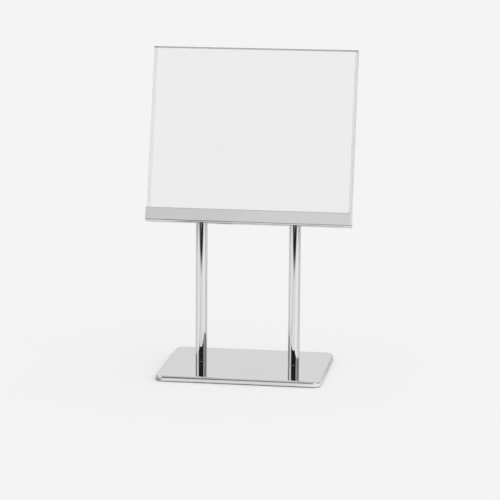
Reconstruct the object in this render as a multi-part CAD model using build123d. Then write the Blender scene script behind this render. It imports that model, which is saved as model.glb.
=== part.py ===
from build123d import *
import os

# A counter-top card holder: a plate base, two posts, a channel that leans back and a clear
# pocket that stands in the channel. Millimetres. +X is to the right as seen from the front,
# +Y to the back, +Z up. The origin is on the table, under the middle of the base plate.

# Base plate and the pads under it
base_width = 141.0
base_depth = 111.0
base_thickness = 4.7
base_corner_radius = 7.0
base_top_edge_radius = 2.2
base_bottom_edge_radius = 0.7
pad_diameter = 10.0
pad_thickness = 0.5
pad_rim_chamfer = 0.2
pad_inset = 14.0

# Posts
post_diameter = 10.0
post_length = 121.4
post_spacing = 81.2
post_setback = 6.0
post_foot_chamfer = 0.35

# Channel
lean_angle = 15.0
channel_height = 12.2
channel_wall = 1.5
channel_floor = 3.0
channel_lower_radius = 1.8
channel_lip_radius = 0.5
channel_end_chamfer = 0.4
channel_overhang = 0.4

# Clear pocket
pocket_width = 177.8
window_height = 140.5
sheet_thickness = 3.0
strip_thickness = 2.0
strip_width = 2.3
sheet_edge_chamfer = 0.1

# Flat-head screws
base_screw_diameter = 5.0
base_screw_head_diameter = 9.2
base_screw_length = 14.0
base_screw_socket = 3.0
channel_screw_diameter = 4.0
channel_screw_head_diameter = 7.5
channel_screw_length = 10.0
channel_screw_socket = 2.5
screw_head_land = 0.3
screw_socket_depth = 1.4
screw_head_recess = 0.2

# Clearances
glue_line = 0.05
slot_clearance = 0.15
screw_clearance = 0.06
tapped_hole_extra_depth = 2.0

# Sizes and places that follow from the ones above
base_underside = pad_thickness
base_top = base_underside + base_thickness
post_top = base_top + post_length
pocket_thickness = 2 * sheet_thickness + strip_thickness + 2 * glue_line
slot_width = pocket_thickness + 2 * slot_clearance
slot_depth = channel_height - channel_floor
channel_length = pocket_width + 2 * channel_overhang
channel_depth = slot_width + 2 * channel_wall
sheet_height = slot_depth + window_height
post_places = (-post_spacing / 2, post_spacing / 2)

# The leaning frame starts in the middle of the channel's underside: its Z runs up the lean
lean = Location((0, post_setback, post_top), (-lean_angle, 0, 0))

STANDING = (Align.CENTER, Align.CENTER, Align.MIN)
HANGING = (Align.CENTER, Align.CENTER, Align.MAX)


def flat_head_screw(diameter, head_diameter, length, grow=0.0, above=0.0):
    """A flat-head screw hanging down from the top of its head at Z = 0.

    grow widens it all round, for the seat it sits in. above carries the head's rim up past the
    surface, so that a seat is open at its mouth.
    """
    shank = diameter / 2 + grow
    head = head_diameter / 2 + grow
    cone_top = -screw_head_land
    cone_foot = cone_top - (head - shank)
    outline = Polyline(
        (0, above),
        (head, above),
        (head, cone_top),
        (shank, cone_foot),
        (shank, -length),
        (0, -length),
        close=True,
    )
    return revolve(Plane.XZ * make_face(outline), Axis.Z)


def screw_with_socket(diameter, head_diameter, length, socket):
    """A flat-head screw with a hexagon socket in its head."""
    hexagon = RegularPolygon(socket / 2, 6, major_radius=False)
    recess = extrude(hexagon, -screw_socket_depth)
    return flat_head_screw(diameter, head_diameter, length) - recess


def base_screw_places():
    """The tops of the base screws' heads, turned to point down from the plate's underside."""
    head_level = base_underside + screw_head_recess
    return [Location((x, post_setback, head_level), (180, 0, 0)) for x in post_places]


def channel_screw_places():
    """The tops of the channel screws' heads, square to the channel's floor."""
    head_level = channel_floor - screw_head_recess
    return [lean * Location((x, 0, head_level)) for x in post_places]


def make_base_plate():
    """The plate: rounded corners, softened edges and a countersunk seat for each base screw."""
    outline = RectangleRounded(base_width, base_depth, base_corner_radius)
    plate = Pos(0, 0, base_underside) * extrude(outline, base_thickness)
    by_height = plate.faces().sort_by(Axis.Z)
    plate = fillet(by_height[-1].edges(), base_top_edge_radius)
    plate = fillet(plate.faces().sort_by(Axis.Z)[0].edges(), base_bottom_edge_radius)
    for place in base_screw_places():
        plate -= place * flat_head_screw(
            base_screw_diameter,
            base_screw_head_diameter,
            base_screw_length,
            grow=screw_clearance,
            above=2 * screw_head_recess,
        )
    return plate


def make_foot_pad(x, y):
    """One round pad, flat on top against the plate and softened at its lower rim."""
    pad = Cylinder(pad_diameter / 2, pad_thickness, align=STANDING)
    pad = chamfer(pad.edges().sort_by(Axis.Z)[0], pad_rim_chamfer)
    return Pos(x, y, 0) * pad


def make_post(x):
    """One rod: square at the foot, cut along the channel's underside at the top, tapped at both ends."""
    reach = post_length + post_diameter
    rod = Cylinder(post_diameter / 2, reach, align=STANDING)
    rod = chamfer(rod.edges().sort_by(Axis.Z)[0], post_foot_chamfer)
    rod = Pos(x, post_setback, base_top) * rod
    rod -= lean * Pos(x, 0, 0) * Box(reach, reach, reach, align=STANDING)
    foot_depth = base_screw_length + screw_head_recess - base_thickness + tapped_hole_extra_depth
    foot_hole = Cylinder(base_screw_diameter / 2 + screw_clearance, foot_depth, align=STANDING)
    rod -= Pos(x, post_setback, base_top) * foot_hole
    top_depth = channel_screw_length + screw_head_recess - channel_floor + tapped_hole_extra_depth
    top_hole = Cylinder(channel_screw_diameter / 2 + screw_clearance, top_depth, align=HANGING)
    rod -= lean * Pos(x, 0, 0) * top_hole
    return rod


def make_channel():
    """The rail: a U-shaped section with rounded lower edges, eased ends and two screw seats."""
    outer = Pos(0, channel_height / 2) * Rectangle(channel_depth, channel_height)
    lower_corners = outer.vertices().group_by(Axis.Y)[0]
    outer = fillet(lower_corners, channel_lower_radius)
    slot = Pos(0, channel_floor) * Rectangle(slot_width, channel_height, align=(Align.CENTER, Align.MIN))
    section = outer - slot
    lips = section.vertices().group_by(Axis.Y)[-1]
    section = fillet(lips, channel_lip_radius)
    rail = extrude(Plane.YZ * section, channel_length / 2, both=True)
    ends = rail.faces().sort_by(Axis.X)
    rail = chamfer(ends[0].edges() + ends[-1].edges(), channel_end_chamfer)
    rail = lean * rail
    for place in channel_screw_places():
        rail -= place * flat_head_screw(
            channel_screw_diameter,
            channel_screw_head_diameter,
            channel_screw_length,
            grow=screw_clearance,
            above=2 * screw_head_recess,
        )
    return rail


def make_screws(places, diameter, head_diameter, length, socket):
    """Separate identical screws at the given places, as one group."""
    pattern = screw_with_socket(diameter, head_diameter, length, socket)
    return Compound(children=[place * pattern for place in places])


def make_sheet(side):
    """One sheet of the pocket: side is -1 for the front, +1 for the back."""
    sheet = Box(pocket_width, sheet_thickness, sheet_height, align=STANDING)
    outer_face = sheet.faces().sort_by(Axis.Y)[0 if side < 0 else -1]
    sheet = chamfer(outer_face.edges(), sheet_edge_chamfer)
    middle = side * (pocket_thickness - sheet_thickness) / 2
    return lean * Pos(0, middle, channel_floor) * sheet


def make_side_strip(side):
    """One side strip between the sheets: side is -1 for the left, +1 for the right."""
    strip = Box(strip_width, strip_thickness, sheet_height, align=STANDING)
    middle = side * (pocket_width - strip_width) / 2
    return lean * Pos(middle, 0, channel_floor) * strip


def make_bottom_strip():
    """The strip along the foot of the pocket, between the side strips, where the card stands."""
    length = pocket_width - 2 * strip_width - 2 * glue_line
    strip = Box(length, strip_thickness, strip_width, align=STANDING)
    return lean * Pos(0, 0, channel_floor) * strip


def make_pads():
    """The four pads, one near each corner of the plate."""
    pads = {}
    for depth_name, depth_side in (("front", -1), ("back", 1)):
        for width_name, width_side in (("left", -1), ("right", 1)):
            x = width_side * (base_width / 2 - pad_inset)
            y = depth_side * (base_depth / 2 - pad_inset)
            pads[f"foot_pad_{depth_name}_{width_name}"] = make_foot_pad(x, y)
    return pads


def make_nodes():
    """Every piece by its node name."""
    nodes = {"base_plate": make_base_plate()}
    nodes.update(make_pads())
    nodes["left_post"] = make_post(post_places[0])
    nodes["right_post"] = make_post(post_places[1])
    nodes["base_screws"] = make_screws(
        base_screw_places(),
        base_screw_diameter,
        base_screw_head_diameter,
        base_screw_length,
        base_screw_socket,
    )
    nodes["channel"] = make_channel()
    nodes["channel_screws"] = make_screws(
        channel_screw_places(),
        channel_screw_diameter,
        channel_screw_head_diameter,
        channel_screw_length,
        channel_screw_socket,
    )
    nodes["front_sheet"] = make_sheet(-1)
    nodes["back_sheet"] = make_sheet(1)
    nodes["left_strip"] = make_side_strip(-1)
    nodes["right_strip"] = make_side_strip(1)
    nodes["bottom_strip"] = make_bottom_strip()
    return nodes


os.makedirs("parts", exist_ok=True)
for name, solid in make_nodes().items():
    export_step(solid, f"parts/{name}.step")
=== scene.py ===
"""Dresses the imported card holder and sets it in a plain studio.

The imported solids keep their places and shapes. This file gives each of them its finish, adds
the small details that belong to the surface, and sets up the floor, the light and the camera.
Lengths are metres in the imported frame: +X right, +Y back, +Z up. Angles are radians, apart from
the camera's, which are degrees.
"""

import logging
import math
from dataclasses import dataclass, field
from enum import Enum
from typing import Any

import bpy
import numpy as np
from mathutils import Matrix, Vector


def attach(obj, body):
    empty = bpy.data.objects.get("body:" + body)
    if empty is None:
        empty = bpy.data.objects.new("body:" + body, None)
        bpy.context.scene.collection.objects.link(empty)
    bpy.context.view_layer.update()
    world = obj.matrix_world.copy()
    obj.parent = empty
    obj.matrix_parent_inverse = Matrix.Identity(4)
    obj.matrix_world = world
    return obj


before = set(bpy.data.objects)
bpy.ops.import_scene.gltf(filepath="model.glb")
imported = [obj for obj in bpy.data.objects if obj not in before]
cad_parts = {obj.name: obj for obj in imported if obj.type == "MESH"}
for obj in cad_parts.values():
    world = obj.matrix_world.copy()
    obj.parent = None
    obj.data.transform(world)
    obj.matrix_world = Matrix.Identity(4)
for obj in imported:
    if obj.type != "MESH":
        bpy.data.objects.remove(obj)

LOG = logging.getLogger("card_holder")
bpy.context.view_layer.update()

# The picture's side in pixels and the width of the camera's sensor in millimetres
PICTURE_SIDE = 500
SENSOR_WIDTH = 36.0

# Bounces are counted in whole numbers, so a test lies halfway between two counts
BEFORE_FIRST_BOUNCE = 0.5
AFTER_FIRST_BOUNCE = 1.5

# How fast the floor's dark strip and the flag draw away from the object, to the left and to the right
DRAW_LEFT = 0.22
DRAW_RIGHT = 0.15

Tree = bpy.types.NodeTree
Node = bpy.types.Node
Socket = bpy.types.NodeSocket
Material = bpy.types.Material
Piece = bpy.types.Object
Span = tuple[float, float]
Triple = tuple[float, float, float]
Band = tuple[float, float, float, float]
Colour = Triple


class Look(Enum):
    """The finishes: each has its material's name and the record's material slot that it dresses."""

    CHROME = ("polished_chrome", "chrome")
    SHEET = ("clear_sheet", "acrylic")
    STRIP = ("cemented_strip", "acrylic")
    # Painted shade: a darker copy of the strip finish, for the right strip only
    SHADED_RIGHT_STRIP = ("shaded_right_strip", "acrylic")
    CEMENT = ("set_cement", "acrylic")
    STEEL = ("zinc_steel", "screw_steel")
    PAD = ("soft_clear_pad", "pad")

    @property
    def title(self) -> str:
        """The material's name."""
        return self.value[0]

    @property
    def slot(self) -> str:
        """The record's material slot."""
        return self.value[1]

    @property
    def clear(self) -> bool:
        """Whether it is a finish of the clear pocket."""
        return self.slot == "acrylic"


def rgba(colour: Colour) -> tuple[float, float, float, float]:
    """The colour with full alpha."""
    return (*colour, 1.0)


def put(tree: Tree, kind: str, **values: Any) -> Node:
    """Adds a node and sets it up.

    Args:
        tree: The node tree to add to.
        kind: The node's class name.
        values: Node properties by name, or default values of inputs by name with spaces as _.

    Returns:
        The new node.
    """
    node = tree.nodes.new(kind)
    for name, value in values.items():
        if hasattr(node, name):
            setattr(node, name, value)
        else:
            node.inputs[name.replace("_", " ")].default_value = value
    return node


def join(tree: Tree, source: Socket, target: Socket) -> None:
    """Links an output socket to an input socket."""
    tree.links.new(source, target)


def math_node(tree: Tree, operation: str, first: Socket | float, second: Socket | float = 0.0) -> Socket:
    """Adds a Math node.

    Args:
        tree: The node tree.
        operation: The node's operation.
        first: A socket or a number for the first input.
        second: A socket or a number for the second input.

    Returns:
        The node's output socket.
    """
    node = put(tree, "ShaderNodeMath", operation=operation)
    for target, value in zip(node.inputs, (first, second)):
        if isinstance(value, (int, float)):
            target.default_value = value
        else:
            join(tree, value, target)
    return node.outputs[0]


def map_range(tree: Tree, value: Socket, low: float, high: float, to_low: float, to_high: float) -> Socket:
    """Maps a value from one range to another, clamped and smoothed.

    Args:
        tree: The node tree.
        value: The value to map.
        low: Start of the source range.
        high: End of the source range.
        to_low: Start of the target range.
        to_high: End of the target range.

    Returns:
        The mapped value's socket.
    """
    node = put(tree, "ShaderNodeMapRange", interpolation_type="SMOOTHSTEP")
    join(tree, value, node.inputs["Value"])
    for name, number in zip(("From Min", "From Max", "To Min", "To Max"), (low, high, to_low, to_high)):
        node.inputs[name].default_value = number
    return node.outputs["Result"]


def ramp(tree: Tree, value: Socket, start: float, full: float) -> Socket:
    """A mask that goes smoothly from 0 at the start value to 1 at the full one."""
    return map_range(tree, value, start, full, 0.0, 1.0)


def band(tree: Tree, value: Socket, start: float, full: float, fade: float, end: float) -> Socket:
    """A mask that is 1 inside a band of values and falls off smoothly on both sides.

    Args:
        tree: The node tree.
        value: The value to look at.
        start: Where the mask leaves 0.
        full: Where it reaches 1.
        fade: Where it leaves 1.
        end: Where it is back at 0.

    Returns:
        The mask's socket.
    """
    rising = ramp(tree, value, start, full)
    return math_node(tree, "MULTIPLY", rising, map_range(tree, value, fade, end, 1.0, 0.0))


def away_from(tree: Tree, value: Socket, middle: float) -> Socket:
    """The distance |value - middle|."""
    return math_node(tree, "ABSOLUTE", math_node(tree, "SUBTRACT", value, middle))


def dimmed(tree: Tree, value: Socket, mask: Socket, share: float) -> Socket:
    """Takes a share off a value where a mask is 1.

    Args:
        tree: The node tree.
        value: The value to dim.
        mask: Where to dim it.
        share: The share taken off.

    Returns:
        value * (1 - share * mask).
    """
    kept = math_node(tree, "SUBTRACT", 1.0, math_node(tree, "MULTIPLY", mask, share))
    return math_node(tree, "MULTIPLY", value, kept)


def mix_colour(tree: Tree, factor: Socket, first: Any, second: Any) -> Socket:
    """Adds a colour Mix node.

    Args:
        tree: The node tree.
        factor: The share of the second colour.
        first: A socket or a colour with alpha.
        second: A socket or a colour with alpha.

    Returns:
        The mixed colour's socket.
    """
    node = put(tree, "ShaderNodeMix", data_type="RGBA")
    join(tree, factor, node.inputs["Factor"])
    colours = [socket for socket in node.inputs if socket.type == "RGBA"]
    for target, value in zip(colours, (first, second)):
        if isinstance(value, bpy.types.NodeSocket):
            join(tree, value, target)
        else:
            target.default_value = value
    return next(socket for socket in node.outputs if socket.type == "RGBA")


def new_material(name: str) -> tuple[Material, Tree, Node]:
    """Starts a material.

    Args:
        name: The material's name.

    Returns:
        The material, its node tree and its main shader.
    """
    made = bpy.data.materials.new(name)
    made.use_nodes = True
    return made, made.node_tree, made.node_tree.nodes["Principled BSDF"]


def new_group(name: str, inputs: dict[str, float], outputs: tuple[str, ...]) -> tuple[Tree, Node, Node]:
    """Starts a shader node group with float sockets.

    Args:
        name: The group's name.
        inputs: Default values of the float inputs by name.
        outputs: Names of the float outputs.

    Returns:
        The tree, its group input node and its group output node.
    """
    tree = bpy.data.node_groups.new(name, "ShaderNodeTree")
    for label, value in inputs.items():
        socket = tree.interface.new_socket(label, in_out="INPUT", socket_type="NodeSocketFloat")
        socket.default_value = value
    for label in outputs:
        tree.interface.new_socket(label, in_out="OUTPUT", socket_type="NodeSocketFloat")
    return tree, tree.nodes.new("NodeGroupInput"), tree.nodes.new("NodeGroupOutput")


def new_object(name: str, points: np.ndarray, faces: list[list[int]]) -> Piece:
    """Makes a mesh object and links it to the scene.

    Args:
        name: The object's name.
        points: Array of points, with the coordinates in the last axis, in metres.
        faces: Point numbers of each face.

    Returns:
        The new object.
    """
    mesh = bpy.data.meshes.new(name)
    mesh.from_pydata(points.reshape(-1, 3).tolist(), [], faces)
    made = bpy.data.objects.new(name, mesh)
    bpy.context.scene.collection.objects.link(made)
    return made


def grid_mesh(name: str, points: np.ndarray) -> Piece:
    """Makes an open sheet from a grid of points.

    Quad (i, j) joins points (i, j), (i+1, j), (i+1, j+1) and (i, j+1).

    Args:
        name: The object's name.
        points: Array of shape (rows, columns, 3), in metres.

    Returns:
        The new object.
    """
    index = np.arange(points[..., 0].size).reshape(points.shape[:2])
    quads = np.stack((index[:-1, :-1], index[1:, :-1], index[1:, 1:], index[:-1, 1:]), -1)
    return new_object(name, points, quads.reshape(-1, 4).tolist())


def tube_mesh(name: str, rings: np.ndarray) -> Piece:
    """Makes a closed tube from rings of points.

    Quad (i, j) joins points (i, j), (i+1, j), (i+1, j+1) and (i, j+1), and the last column is
    followed by the first. One face closes each end. The faces are turned round if the space that
    they enclose, the sum of a . (b x c) over their triangles about the middle of the tube, comes
    out negative.

    Args:
        name: The object's name.
        rings: Array of shape (rings, points around, 3), in metres.

    Returns:
        The new object.
    """
    index = np.arange(rings[..., 0].size).reshape(rings.shape[:2])
    near, far = index[:-1], index[1:]
    quads = np.stack((near, far, np.roll(far, -1, 1), np.roll(near, -1, 1)), -1).reshape(-1, 4)
    a, b, c, d = np.moveaxis((rings - rings.mean((0, 1))).reshape(-1, 3)[quads], 1, 0)
    enclosed = np.sum(a * (np.cross(b, c) + np.cross(c, d)))
    faces = [*quads.tolist(), index[0].tolist(), index[-1, ::-1].tolist()]
    return new_object(name, rings, faces if enclosed > 0 else [face[::-1] for face in faces])


@dataclass(frozen=True)
class HandlingMarks:
    """The shared group of handling marks.

    Haze is a cloudy mask of wiped smudges, the product of two noises. Scratches is a mask of
    hairlines: a noise stretched along one axis is kept only near its middle value, in patches.
    """

    cloud: Span = (0.42, 0.72)
    grain: Span = (0.35, 0.75)
    least_grain: float = 0.25
    grain_fineness: float = 6.0
    wipe_scale: Triple = (1.0, 3.2, 0.7)
    wipe_turn: Triple = (0.3, 0.5, 0.9)
    scratch_stretch: Triple = (1.0, 0.06, 0.06)
    scratch_turn: Triple = (0.7, 1.1, 0.35)
    scratch_width: float = 0.006
    scratch_patch: Span = (0.5, 0.65)
    noise_middle: float = 0.5

    def group(self) -> Tree:
        """Builds the group.

        Returns:
            The node group.
        """
        inputs = {"Smudge Scale": 18.0, "Scratch Scale": 60.0}
        tree, start, end = new_group("handling_marks", inputs, ("Haze", "Scratches"))
        place = put(tree, "ShaderNodeTexCoord").outputs["Object"]

        broad = put(tree, "ShaderNodeTexNoise", Detail=3.0, Roughness=0.6)
        join(tree, place, broad.inputs["Vector"])
        join(tree, start.outputs["Smudge Scale"], broad.inputs["Scale"])
        wiped = put(tree, "ShaderNodeMapping", Scale=self.wipe_scale, Rotation=self.wipe_turn)
        join(tree, place, wiped.inputs["Vector"])
        fine = put(tree, "ShaderNodeTexNoise", Detail=5.0, Roughness=0.7)
        join(tree, wiped.outputs[0], fine.inputs["Vector"])
        fine_scale = math_node(tree, "MULTIPLY", start.outputs["Smudge Scale"], self.grain_fineness)
        join(tree, fine_scale, fine.inputs["Scale"])
        cloud = ramp(tree, broad.outputs[0], *self.cloud)
        grain = map_range(tree, fine.outputs[0], *self.grain, self.least_grain, 1.0)
        join(tree, math_node(tree, "MULTIPLY", cloud, grain), end.inputs["Haze"])

        turned = put(tree, "ShaderNodeMapping", Scale=self.scratch_stretch, Rotation=self.scratch_turn)
        join(tree, place, turned.inputs["Vector"])
        hair = put(tree, "ShaderNodeTexNoise", Detail=1.0, Roughness=0.4)
        join(tree, turned.outputs[0], hair.inputs["Vector"])
        join(tree, start.outputs["Scratch Scale"], hair.inputs["Scale"])
        off_middle = away_from(tree, hair.outputs[0], self.noise_middle)
        line = map_range(tree, off_middle, 0.0, self.scratch_width, 1.0, 0.0)
        patchy = ramp(tree, broad.outputs[0], *self.scratch_patch)
        join(tree, math_node(tree, "MULTIPLY", line, patchy), end.inputs["Scratches"])
        return tree


@dataclass(frozen=True)
class LeanFrame:
    """The frame of the leaning channel and pocket.

    Its origin is in the middle of the channel's underside. Across runs to the right, depth to the
    back and rise up the lean, so a point is
    origin + across * (1, 0, 0) + depth * (0, cos a, -sin a) + rise * (0, sin a, cos a).
    """

    origin: Triple = (0.0, 0.006, 0.1266)
    angle: float = math.radians(15.0)
    half_width: float = 0.0889
    foot: float = 0.003
    head: float = 0.1527
    inner_half_depth: float = 0.00105
    strip_width: float = 0.0023

    def rise_axis(self) -> Triple:
        """The direction up the lean."""
        return (0.0, math.sin(self.angle), math.cos(self.angle))

    def place(self, across: np.ndarray, depth: np.ndarray, rise: np.ndarray) -> np.ndarray:
        """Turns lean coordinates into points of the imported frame.

        Args:
            across: Distances to the right.
            depth: Distances to the back, square to the sheets.
            rise: Distances up the lean.

        Returns:
            Array of points, with the coordinates in the last axis.
        """
        y = self.origin[1] + depth * math.cos(self.angle) + rise * math.sin(self.angle)
        z = self.origin[2] - depth * math.sin(self.angle) + rise * math.cos(self.angle)
        return np.stack(np.broadcast_arrays(across + self.origin[0], y, z), -1)


LEAN = LeanFrame()

# The posts carry the channel under its middle, and distances ahead are counted from their line
POST_LINE = LEAN.origin[1]


def cut_edge_group() -> Tree:
    """Builds the shared group that finds the cut edges of the pocket.

    Head is 1 on the faces cut at the top of the sheets and Sides on those cut at the left and the
    right. Both compare a distance with the size of the pocket: the distance up the lean and that
    from the middle. The masks fall from 1 to 0 between half the depth and the whole.

    Returns:
        The node group.
    """
    tree, start, end = new_group("cut_edges", {"Depth": 0.0004}, ("Head", "Sides"))
    place = put(tree, "ShaderNodeTexCoord").outputs["Object"]
    shifted = put(tree, "ShaderNodeVectorMath", operation="SUBTRACT")
    join(tree, place, shifted.inputs[0])
    shifted.inputs[1].default_value = LEAN.origin
    along = put(tree, "ShaderNodeVectorMath", operation="DOT_PRODUCT")
    join(tree, shifted.outputs["Vector"], along.inputs[0])
    along.inputs[1].default_value = LEAN.rise_axis()
    from_head = math_node(tree, "SUBTRACT", LEAN.head, along.outputs["Value"])
    apart = put(tree, "ShaderNodeSeparateXYZ")
    join(tree, place, apart.inputs[0])
    from_middle = math_node(tree, "ABSOLUTE", apart.outputs["X"])
    from_side = math_node(tree, "SUBTRACT", LEAN.half_width, from_middle)
    for name, distance in (("Head", from_head), ("Sides", from_side)):
        share = math_node(tree, "DIVIDE", distance, start.outputs["Depth"])
        join(tree, map_range(tree, share, 0.5, 1.0, 1.0, 0.0), end.inputs[name])
    return tree


@dataclass(frozen=True)
class Finish:
    """What every finish shares: a colour with a second tone, and a gloss range.

    The colour moves between its two tones with the haze, and the roughness rises with haze and
    scratches, so no surface is one flat value.
    """

    colour: Colour
    second_colour: Colour
    roughness: float
    hazed_roughness: float
    smudge_scale: float = 18.0
    scratch_scale: float = 60.0

    def material(self, name: str, marks: Tree, edges: Tree) -> Material:
        """Makes the material.

        Args:
            name: The material's name.
            marks: The shared group of handling marks.
            edges: The shared group that finds the pocket's cut edges.

        Returns:
            The finished material.
        """
        made, tree, shader = new_material(name)
        group = put(tree, "ShaderNodeGroup", node_tree=marks)
        group.inputs["Smudge Scale"].default_value = self.smudge_scale
        group.inputs["Scratch Scale"].default_value = self.scratch_scale
        tone = mix_colour(tree, group.outputs["Haze"], rgba(self.colour), rgba(self.second_colour))
        join(tree, tone, shader.inputs["Base Color"])
        worn = math_node(tree, "MAXIMUM", group.outputs["Haze"], group.outputs["Scratches"])
        gloss = map_range(tree, worn, 0.0, 1.0, self.roughness, self.hazed_roughness)
        join(tree, gloss, shader.inputs["Roughness"])
        self.refine(tree, shader, edges)
        return made

    def refine(self, tree: Tree, shader: Node, edges: Tree) -> None:
        """Adds what only this finish needs.

        Args:
            tree: The material's node tree.
            shader: Its main shader.
            edges: The shared group that finds the pocket's cut edges.
        """


@dataclass(frozen=True)
class ChromePlate(Finish):
    """Mirror-bright plating, which stays grey at grazing angles as chromium does."""

    grazing_tint: Colour = (0.82, 0.82, 0.82)

    def refine(self, tree: Tree, shader: Node, edges: Tree) -> None:
        """Makes the shader a metal."""
        shader.inputs["Metallic"].default_value = 1.0
        shader.inputs["Specular Tint"].default_value = rgba(self.grazing_tint)


@dataclass(frozen=True)
class ClearAcrylic(Finish):
    """Clear polished sheet with sawn edges; its heads are painted near black where seen from inside the
    sheet, a painted shade along the top edge.
    """

    refraction: float = 1.49
    head_shade_colour: Colour = (0.05, 0.05, 0.05)
    side_colour: Colour = (0.94, 0.935, 0.936)
    edge_roughness: float = 0.45

    def refine(self, tree: Tree, shader: Node, edges: Tree) -> None:
        """Makes the shader a clear solid, dulls the cut edges and paints shade on the heads seen from
        inside.

        Args:
            tree: The material's node tree.
            shader: Its main shader.
            edges: The shared group that finds the pocket's cut edges.
        """
        shader.inputs["Transmission Weight"].default_value = 1.0
        shader.inputs["IOR"].default_value = self.refraction
        found = put(tree, "ShaderNodeGroup", node_tree=edges)
        clear = shader.inputs["Base Color"].links[0].from_socket
        sided = mix_colour(tree, found.outputs["Sides"], clear, rgba(self.side_colour))
        inside = put(tree, "ShaderNodeNewGeometry").outputs["Backfacing"]
        # Painted shade: the heads are tinted near black where seen from inside the sheet
        painted_head_shade = math_node(tree, "MULTIPLY", found.outputs["Head"], inside)
        headed = mix_colour(tree, painted_head_shade, sided, rgba(self.head_shade_colour))
        join(tree, headed, shader.inputs["Base Color"])
        gloss = shader.inputs["Roughness"].links[0].from_socket
        dull = math_node(tree, "MULTIPLY", found.outputs["Head"], self.edge_roughness)
        join(tree, math_node(tree, "MAXIMUM", gloss, dull), shader.inputs["Roughness"])


@dataclass(frozen=True)
class SoftPad(Finish):
    """Cloudy soft plastic that lets some light through."""

    refraction: float = 1.5
    clearness: float = 0.6

    def refine(self, tree: Tree, shader: Node, edges: Tree) -> None:
        """Makes the shader partly clear."""
        shader.inputs["Transmission Weight"].default_value = self.clearness
        shader.inputs["IOR"].default_value = self.refraction


FINISHES: dict[Look, Finish] = {
    Look.CHROME: ChromePlate(
        colour=(0.762, 0.756, 0.758),
        second_colour=(0.738, 0.732, 0.735),
        roughness=0.015,
        hazed_roughness=0.05,
    ),
    Look.SHEET: ClearAcrylic(
        colour=(0.972, 0.967, 0.968),
        second_colour=(0.963, 0.958, 0.959),
        roughness=0.0,
        hazed_roughness=0.02,
    ),
    Look.STRIP: ClearAcrylic(
        colour=(0.9, 0.895, 0.896),
        second_colour=(0.86, 0.855, 0.856),
        roughness=0.0,
        hazed_roughness=0.03,
        smudge_scale=90.0,
    ),
    # Painted shade: the strip finish made darker, for the darker look the light gives the pocket's right
    # side; its marks match the strip's
    Look.SHADED_RIGHT_STRIP: ClearAcrylic(
        colour=(0.83, 0.825, 0.826),
        second_colour=(0.78, 0.775, 0.776),
        roughness=0.0,
        hazed_roughness=0.03,
        smudge_scale=90.0,
    ),
    Look.CEMENT: ClearAcrylic(
        colour=(0.95, 0.945, 0.946),
        second_colour=(0.88, 0.875, 0.876),
        roughness=0.01,
        hazed_roughness=0.06,
        smudge_scale=120.0,
    ),
    Look.STEEL: ChromePlate(
        colour=(0.5, 0.5, 0.51),
        second_colour=(0.4, 0.4, 0.41),
        roughness=0.22,
        hazed_roughness=0.42,
        smudge_scale=120.0,
        scratch_scale=400.0,
    ),
    Look.PAD: SoftPad(
        colour=(0.78, 0.79, 0.78),
        second_colour=(0.7, 0.71, 0.69),
        roughness=0.35,
        hazed_roughness=0.55,
        smudge_scale=150.0,
    ),
}


def let_light_through(clear: Piece) -> None:
    """Keeps a clear piece from shading what stands behind it."""
    clear.visible_shadow = False
    clear.visible_diffuse = False


@dataclass
class DressedNodes:
    """A sub-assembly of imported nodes, each with its look."""

    nodes: dict[str, Look]

    def build(self, materials: dict[Look, Material]) -> None:
        """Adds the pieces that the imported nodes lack.

        Args:
            materials: The finished materials by look.
        """

    def dress(self, materials: dict[Look, Material]) -> None:
        """Gives each node its finish.

        Args:
            materials: The finished materials by look.
        """
        for name, look in self.nodes.items():
            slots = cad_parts[name].data.materials
            slots.clear()
            slots.append(materials[look])
            if look.clear:
                let_light_through(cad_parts[name])
            LOG.info("dressed %s in %s", name, materials[look].name)


@dataclass
class Base(DressedNodes):
    """The plate, its pads and the screws under it."""

    nodes: dict[str, Look] = field(
        default_factory=lambda: {
            "base_plate": Look.CHROME,
            "base_screws": Look.STEEL,
            "foot_pad_front_left": Look.PAD,
            "foot_pad_front_right": Look.PAD,
            "foot_pad_back_left": Look.PAD,
            "foot_pad_back_right": Look.PAD,
        }
    )


@dataclass
class Posts(DressedNodes):
    """The two rods."""

    nodes: dict[str, Look] = field(
        default_factory=lambda: {"left_post": Look.CHROME, "right_post": Look.CHROME}
    )


@dataclass
class Channel(DressedNodes):
    """The leaning rail and the screws in its floor."""

    nodes: dict[str, Look] = field(
        default_factory=lambda: {"channel": Look.CHROME, "channel_screws": Look.STEEL}
    )


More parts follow.
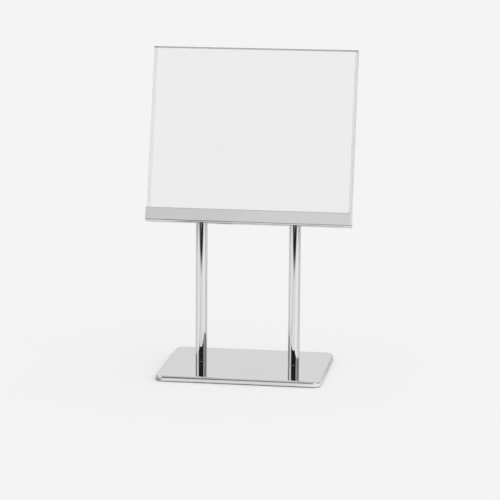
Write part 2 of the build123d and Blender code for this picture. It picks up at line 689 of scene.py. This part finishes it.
@dataclass
class Pocket(DressedNodes):
    """The clear sheets and strips, with the beads of cement in the corners between them."""

    nodes: dict[str, Look] = field(
        default_factory=lambda: {
            "front_sheet": Look.SHEET,
            "back_sheet": Look.SHEET,
            "left_strip": Look.STRIP,
            # The right strip gets the darker copy of the strip finish, a painted shade
            "right_strip": Look.SHADED_RIGHT_STRIP,
            "bottom_strip": Look.STRIP,
        }
    )
    bead_radius: float = 0.00032
    bead_gap: float = 0.00003
    bead_stations: int = 120
    bead_facets: int = 6
    bead_ripple: float = 0.05
    bead_ripple_rate: float = 61.0
    bead_swell: float = 0.08
    bead_swell_rate: float = 23.0

    def bead(self, name: str, side: int, front: int) -> Piece:
        """Makes the bead in the corner between a side strip and a sheet.

        The section is a hollow quarter round: the corner itself, then the arc with its centre at
        (r, r), from (r, 0) to (0, r). The radius swells and shrinks along the bead,
        r = r0 (1 + a sin(b s) + c sin(d s)), where s runs from 0 to 1, a and b are the ripple and
        its rate, and c and d are the swell and its rate.

        Args:
            name: The object's name.
            side: -1 for the left strip, 1 for the right.
            front: -1 for the front sheet, 1 for the back.

        Returns:
            The bead, riding on the pocket.
        """
        share = np.linspace(0.0, 1.0, self.bead_stations)[:, None]
        ripple = self.bead_ripple * np.sin(self.bead_ripple_rate * share)
        swell = self.bead_swell * np.sin(self.bead_swell_rate * share)
        radius = self.bead_radius * (1.0 + ripple + swell)
        turn = np.linspace(1.5 * np.pi, np.pi, self.bead_facets)[None, :]
        corner = np.zeros_like(radius)
        out = np.concatenate((corner, radius * (1.0 + np.cos(turn))), 1)
        up = np.concatenate((corner, radius * (1.0 + np.sin(turn))), 1)
        wall = LEAN.half_width - LEAN.strip_width - self.bead_gap
        across = side * (wall - out)
        depth = front * (LEAN.inner_half_depth - self.bead_gap - up)
        rise = LEAN.foot + LEAN.strip_width + share * (LEAN.head - LEAN.foot - LEAN.strip_width)
        made = tube_mesh(name, LEAN.place(across, depth, rise))
        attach(made, "pocket")
        return made

    def build(self, materials: dict[Look, Material]) -> None:
        """Lays the beads of cement.

        Args:
            materials: The finished materials by look.
        """
        for side, side_name in ((-1, "left"), (1, "right")):
            for front, front_name in ((-1, "front"), (1, "back")):
                made = self.bead(f"cement_{side_name}_{front_name}", side, front)
                made.data.materials.append(materials[Look.CEMENT])
                let_light_through(made)
                LOG.info("laid %s", made.name)


@dataclass(frozen=True)
class Floor:
    """The pale floor, and the reflection and shade painted into its colour where the polished metal shows
    it.
    """

    half_width: float = 14.0
    grid_lines: int = 9
    colour: Colour = (0.903, 0.9, 0.9)
    roughness: float = 0.9
    # Painted reflection: a dark strip in the mirrored floor, for the dark room ahead
    painted_dark_strip: Band = (0.36, 0.54, 0.66, 0.84)
    painted_dark_strip_depth: float = 0.975
    side_fall: Span = (0.5, 0.95)
    side_level: float = 0.3
    back_bearing: Span = (1.0, 1.9)
    back_level: float = 0.86
    # Painted sheen: the mirrored floor is brighter to the left and the right
    painted_sheen: Span = (0.09, 0.18)
    painted_sheen_change: Span = (-0.02, 0.02)
    painted_sheen_bearing: Band = (0.45, 0.9, 1.15, 1.5)
    # Painted shadow along the plate's left end, seen only in mirrors
    painted_end_shadow: Band = (0.066, 0.072, 0.074, 0.1)
    painted_end_shadow_depth: float = 0.6

    def build(self) -> None:
        """Lays the floor, a flat grid of points (x, y, 0)."""
        side = np.linspace(-self.half_width, self.half_width, self.grid_lines)
        x, y = np.meshgrid(side, side, indexing="ij")
        floor = grid_mesh("floor", np.stack((x, y, np.zeros_like(x)), -1))
        floor.data.materials.append(self.material())

    def material(self) -> Material:
        """Makes the floor's material: where a mirror shows it, its colour is scaled by a painted
        brightness of reflection and shade.

        Returns:
            The material.
        """
        made, tree, shader = new_material("pale_floor")
        shader.inputs["Roughness"].default_value = self.roughness
        shader.inputs["Specular IOR Level"].default_value = 0.0
        path = put(tree, "ShaderNodeLightPath")
        glossy = path.outputs["Is Glossy Ray"]
        mirrored = math_node(tree, "SUBTRACT", glossy, path.outputs["Is Transmission Ray"])
        lost = math_node(tree, "SUBTRACT", 1.0, self.brightness(tree))
        shade = math_node(tree, "MULTIPLY", mirrored, lost)
        colour = put(tree, "ShaderNodeVectorMath", operation="SCALE")
        colour.inputs[0].default_value = self.colour
        join(tree, math_node(tree, "SUBTRACT", 1.0, shade), colour.inputs["Scale"])
        join(tree, colour.outputs["Vector"], shader.inputs["Base Color"])
        return made

    def brightness(self, tree: Tree) -> Socket:
        """How bright the floor looks in the polished metal, as a factor on its colour: painted reflection
        and shade that only mirrors show.

        As the metal shows it, the white surface has a painted dark strip in front, for the dark room
        ahead, and ends softly at the sides. The strip draws away to both sides, so its distance is
        p - y - max(-l x, r x), where p is the posts' line and l and r are the rates to the left and the
        right. Towards the back corners it is painted a little dimmer, a painted sheen lies to the left
        and the right, and a painted shadow lies along the plate's left end.

        Args:
            tree: The floor material's node tree.

        Returns:
            The factor's socket.
        """
        apart = put(tree, "ShaderNodeSeparateXYZ")
        join(tree, put(tree, "ShaderNodeTexCoord").outputs["Object"], apart.inputs[0])
        x = apart.outputs["X"]
        ahead = math_node(tree, "SUBTRACT", POST_LINE, apart.outputs["Y"])
        aside = math_node(tree, "ABSOLUTE", x)
        to_left = math_node(tree, "MULTIPLY", x, -DRAW_LEFT)
        to_right = math_node(tree, "MULTIPLY", x, DRAW_RIGHT)
        drawn = math_node(tree, "SUBTRACT", ahead, math_node(tree, "MAXIMUM", to_left, to_right))
        side = map_range(tree, aside, *self.side_fall, 1.0, self.side_level)
        bearing = math_node(tree, "ARCTAN2", aside, ahead)
        back = map_range(tree, bearing, *self.back_bearing, 1.0, self.back_level)
        bright = math_node(tree, "MULTIPLY", side, back)
        bright = dimmed(tree, bright, band(tree, drawn, *self.painted_dark_strip), self.painted_dark_strip_depth)
        painted_sheen = map_range(tree, x, *self.painted_sheen_change, *self.painted_sheen)
        painted_sheen = math_node(tree, "MULTIPLY", painted_sheen, band(tree, bearing, *self.painted_sheen_bearing))
        bright = math_node(tree, "MULTIPLY", bright, math_node(tree, "ADD", painted_sheen, 1.0))
        leftward = math_node(tree, "MULTIPLY", x, -1.0)
        return dimmed(tree, bright, band(tree, leftward, *self.painted_end_shadow), self.painted_end_shadow_depth)


@dataclass(frozen=True)
class Flag:
    """A dark card that hangs over the floor's painted dark strip and shows only in reflections: a painted
    reflection of the dark room ahead.

    After a first mirror it is dark grey and ends a little to the right of the middle. After a
    second mirror it is black and shows its whole length.
    """

    # Painted reflection: dark grey after a first mirror, black after a second
    colour: Colour = (0.19, 0.19, 0.19)
    colour_again: Colour = (0.015, 0.015, 0.015)
    distance: float = 0.57
    height: float = 0.155
    slope_left: float = 0.14
    slope_right: float = 0.2
    reach: Span = (-0.75, 1.05)
    columns: int = 120
    hem: Span = (0.055, 0.095)
    top: float = 0.32
    end_fade: float = 0.12
    # Painted reflection: the tower is a stretch at the left that hangs down to the floor
    tower_reach: Band = (-0.27, -0.22, -0.14, -0.08)
    tower_height: float = 0.3
    first_end: Span = (0.08, 0.2)

    def build(self) -> None:
        """Hangs the card.

        It runs along y = p - distance - max(-l x, r x), where p is the posts' line and l and r are
        the rates to the left and the right. Its cover rises from 0 to 1 between the two heights of
        its hem, stays 1 up to h = height + max(-left slope x, right slope x), and falls to 0 at its
        top and at its ends. On a stretch to the left, its tower, it hangs down to the floor and h
        is raised to the tower's height.
        """
        x = np.linspace(*self.reach, self.columns)[:, None]
        y = POST_LINE - self.distance - np.maximum(-DRAW_LEFT * x, DRAW_RIGHT * x)
        tower = np.interp(x, self.tower_reach, (0.0, 1.0, 1.0, 0.0))
        full = self.height + np.maximum(-self.slope_left * x, self.slope_right * x)
        full = full + tower * np.maximum(self.tower_height - full, 0.0)
        flat = np.ones_like(x)
        rows = (0.0 * flat, self.hem[0] * flat, self.hem[1] * flat, full, self.top * flat)
        z = np.concatenate(rows, 1)
        cover = np.concatenate((tower, tower, flat, flat, 0.0 * flat), 1)
        cover = cover * np.clip(np.minimum(x - x[0], x[-1] - x) / self.end_fade, 0.0, 1.0)
        first = np.interp(x, self.first_end, (1.0, 0.0)) * np.ones_like(z)
        card = grid_mesh("dark_flag", np.stack(np.broadcast_arrays(x, y, z), -1))
        for name, values in (("cover", cover), ("first", first)):
            card.data.attributes.new(name, "FLOAT", "POINT").data.foreach_set("value", values.ravel())
        card.data.materials.append(self.material())
        card.visible_camera = False
        card.visible_diffuse = False
        card.visible_transmission = False
        card.visible_shadow = False

    def material(self) -> Material:
        """Makes the card's material, which tells a first mirror from a second one.

        Returns:
            The material.
        """
        made, tree, shader = new_material("dark_flag")
        shader.inputs["Roughness"].default_value = 1.0
        mirrors = put(tree, "ShaderNodeLightPath").outputs["Glossy Depth"]
        again = math_node(tree, "GREATER_THAN", mirrors, AFTER_FIRST_BOUNCE)
        tone = mix_colour(tree, again, rgba(self.colour), rgba(self.colour_again))
        join(tree, tone, shader.inputs["Base Color"])
        cover = put(tree, "ShaderNodeAttribute", attribute_name="cover").outputs["Fac"]
        first = put(tree, "ShaderNodeAttribute", attribute_name="first").outputs["Fac"]
        shown = math_node(tree, "MAXIMUM", first, again)
        join(tree, math_node(tree, "MULTIPLY", cover, shown), shader.inputs["Alpha"])
        return made


@dataclass(frozen=True)
class SoftSky:
    """The soft light on matt surfaces."""

    level: float = 0.506
    overhead: float = 0.75
    from_right: float = 0.25
    least: float = 0.05

    def light(self, tree: Tree, direction: Node) -> Socket:
        """The light from a direction: level + overhead * z + from_right * x, and no less than the least.

        Args:
            tree: The world's node tree.
            direction: Node with the direction's coordinates.

        Returns:
            The strength's socket.
        """
        overhead = math_node(tree, "MULTIPLY", direction.outputs["Z"], self.overhead)
        right = math_node(tree, "MULTIPLY", direction.outputs["X"], self.from_right)
        light = math_node(tree, "ADD", math_node(tree, "ADD", overhead, right), self.level)
        return math_node(tree, "MAXIMUM", light, self.least)


@dataclass(frozen=True)
class Lamp:
    """A light in the mirrored room: full within its half width, and dark from its edge on."""

    bearing: float
    half_width: float
    edge: float
    heights: Band
    strength: float

    def light(self, tree: Tree, bearing: Socket, height: Socket) -> Socket:
        """The lamp's light from a direction: a smooth step across times a band of heights.

        Args:
            tree: The world's node tree.
            bearing: The direction's bearing.
            height: The direction's z.

        Returns:
            The strength's socket.
        """
        off = away_from(tree, bearing, self.bearing)
        across = map_range(tree, off, self.half_width, self.edge, self.strength, 0.0)
        return math_node(tree, "MULTIPLY", across, band(tree, height, *self.heights))


@dataclass(frozen=True)
class MirrorRoom:
    """The pale room that polished surfaces see in place of the soft light.

    A bearing is the angle from straight ahead, arctan2(x, -y), positive to the right. A height is
    the direction's z. The room is brighter behind, and dimmer overhead, low at the sides, at the
    horizon behind, on two panels high in front with a gap between them, and in front to the left.
    Two softboxes, a strip light at the left and a lamp at the right are added to it.
    """

    level: float = 0.827
    back_level: float = 0.975
    back_bearing: Span = (2.0, 2.6)
    front: Span = (0.2, 0.5)
    overhead_height: Span = (0.75, 0.95)
    overhead_dim: float = 0.2
    side_bearing: Band = (0.95, 1.45, 2.0, 2.6)
    side_height: Span = (0.42, 0.3)
    side_dim: float = 0.62
    horizon_height: Span = (0.15, 0.02)
    horizon_dim: float = 0.18
    panel_height: Band = (0.46, 0.54, 0.76, 0.86)
    panel_dim: float = 0.8
    gap_bearing: float = 0.08
    gap_edge: Span = (0.11, 0.17)
    left_part: Span = (-0.12, -0.17)
    left_dim: float = 0.076
    softboxes: Lamp = Lamp(
        bearing=0.8,
        half_width=0.1,
        edge=0.14,
        heights=(0.32, 0.38, 0.66, 0.72),
        strength=2.2,
    )
    strip_light: Lamp = Lamp(
        bearing=-1.24,
        half_width=0.12,
        edge=0.2,
        heights=(0.08, 0.12, 0.26, 0.32),
        strength=1.0,
    )
    side_lamp: Lamp = Lamp(
        bearing=1.45,
        half_width=0.05,
        edge=0.08,
        heights=(0.06, 0.09, 0.13, 0.16),
        strength=1.1,
    )

    def light(self, tree: Tree, direction: Node) -> Socket:
        """The light that a polished surface sees in a direction.

        Args:
            tree: The world's node tree.
            direction: Node with the direction's coordinates.

        Returns:
            The strength's socket.
        """
        x, y, z = (direction.outputs[axis] for axis in "XYZ")
        ahead = math_node(tree, "MULTIPLY", y, -1.0)
        bearing = math_node(tree, "ARCTAN2", x, ahead)
        either_way = math_node(tree, "ABSOLUTE", bearing)
        in_front = ramp(tree, ahead, *self.front)
        behind = ramp(tree, either_way, *self.back_bearing)

        room = map_range(tree, behind, 0.0, 1.0, self.level, self.back_level)
        room = dimmed(tree, room, ramp(tree, z, *self.overhead_height), self.overhead_dim)
        low = ramp(tree, z, *self.side_height)
        low_sides = math_node(tree, "MULTIPLY", low, band(tree, either_way, *self.side_bearing))
        room = dimmed(tree, room, low_sides, self.side_dim)
        horizon = math_node(tree, "MULTIPLY", ramp(tree, z, *self.horizon_height), behind)
        room = dimmed(tree, room, horizon, self.horizon_dim)
        beside_gap = ramp(tree, away_from(tree, bearing, self.gap_bearing), *self.gap_edge)
        panels = math_node(tree, "MULTIPLY", beside_gap, in_front)
        panels = math_node(tree, "MULTIPLY", band(tree, z, *self.panel_height), panels)
        room = dimmed(tree, room, panels, self.panel_dim)
        to_left = math_node(tree, "MULTIPLY", ramp(tree, x, *self.left_part), in_front)
        room = dimmed(tree, room, to_left, self.left_dim)

        boxes = self.softboxes.light(tree, either_way, z)
        strip = self.strip_light.light(tree, bearing, z)
        lamp = self.side_lamp.light(tree, bearing, z)
        lights = math_node(tree, "ADD", boxes, math_node(tree, "ADD", strip, lamp))
        return math_node(tree, "ADD", room, lights)


@dataclass(frozen=True)
class PhotoCamera:
    """The camera at the photograph's angle, with its angles in degrees."""

    azimuth: float = 8.208
    elevation: float = 10.61
    roll: float = 0.455
    distance: float = 1.837
    focal_pixels: float = 2130.8
    aim: Triple = (0.001587, 0.006, 0.104357)
    clip_end: float = 100.0

    def build(self) -> None:
        """Sets the camera.

        The camera stands at aim + back * distance. back, right and up are the axes of a view from
        azimuth and elevation, and right and up are turned about back by the roll.
        """
        a, e, r = (math.radians(v) for v in (self.azimuth, self.elevation, self.roll))
        back = Vector((math.sin(a) * math.cos(e), -math.cos(a) * math.cos(e), math.sin(e)))
        level = Vector((math.cos(a), math.sin(a), 0.0))
        upright = back.cross(level)
        right = math.cos(r) * level + math.sin(r) * upright
        up = math.cos(r) * upright - math.sin(r) * level
        lens = bpy.data.cameras.new("camera")
        lens.sensor_width = SENSOR_WIDTH
        lens.lens = self.focal_pixels / PICTURE_SIDE * SENSOR_WIDTH
        lens.clip_end = self.clip_end
        camera = bpy.data.objects.new("camera", lens)
        place = Matrix((right, up, back)).transposed().to_4x4()
        place.translation = Vector(self.aim) + back * self.distance
        camera.matrix_world = place
        bpy.context.scene.collection.objects.link(camera)
        bpy.context.scene.camera = camera


@dataclass(frozen=True)
class Studio:
    """Floor, flag, light and camera."""

    floor: Floor = Floor()
    flag: Flag = Flag()
    sky: SoftSky = SoftSky()
    room: MirrorRoom = MirrorRoom()
    camera: PhotoCamera = PhotoCamera()
    backdrop: float = 0.905
    light_bounces: int = 64

    def build_world(self) -> None:
        """Lights the scene from all round.

        Matt surfaces get the soft sky and reflections the mirrored room. The camera sees a plain
        backdrop, also through clear pieces.
        """
        world = bpy.data.worlds.new("studio")
        bpy.context.scene.world = world
        world.use_nodes = True
        tree = world.node_tree
        shader = tree.nodes["Background"]
        shader.inputs["Color"].default_value = (1.0, 1.0, 1.0, 1.0)
        direction = put(tree, "ShaderNodeSeparateXYZ")
        join(tree, put(tree, "ShaderNodeTexCoord").outputs["Generated"], direction.inputs[0])
        path = put(tree, "ShaderNodeLightPath")
        lit = put(tree, "ShaderNodeMix", data_type="FLOAT")
        join(tree, path.outputs["Is Glossy Ray"], lit.inputs["Factor"])
        join(tree, self.sky.light(tree, direction), lit.inputs["A"])
        join(tree, self.room.light(tree, direction), lit.inputs["B"])
        unlit = math_node(tree, "LESS_THAN", path.outputs["Diffuse Depth"], BEFORE_FIRST_BOUNCE)
        through = math_node(tree, "MULTIPLY", path.outputs["Is Transmission Ray"], unlit)
        straight = math_node(tree, "MAXIMUM", path.outputs["Is Camera Ray"], through)
        seen = put(tree, "ShaderNodeMix", data_type="FLOAT")
        join(tree, straight, seen.inputs["Factor"])
        join(tree, lit.outputs["Result"], seen.inputs["A"])
        seen.inputs["B"].default_value = self.backdrop
        join(tree, seen.outputs["Result"], shader.inputs["Strength"])

    def set_bounces(self) -> None:
        """Lets light run the whole width of a clear sheet, back and forth between its faces."""
        paths = bpy.context.scene.cycles
        paths.max_bounces = self.light_bounces
        paths.glossy_bounces = self.light_bounces
        paths.transmission_bounces = self.light_bounces

    def build(self) -> None:
        """Builds the whole studio."""
        bpy.context.scene.view_settings.view_transform = "Standard"
        self.set_bounces()
        self.floor.build()
        self.flag.build()
        self.build_world()
        self.camera.build()


def main() -> None:
    """Builds the finishes, dresses the sub-assemblies and sets up the studio."""
    logging.basicConfig(level=logging.INFO, format="%(name)s: %(message)s")
    marks = HandlingMarks().group()
    edges = cut_edge_group()
    materials = {look: finish.material(look.title, marks, edges) for look, finish in FINISHES.items()}
    for assembly in (Base(), Posts(), Channel(), Pocket()):
        assembly.dress(materials)
        assembly.build(materials)
    Studio().build()
    bpy.context.view_layer.update()


if __name__ == "__main__":
    main()
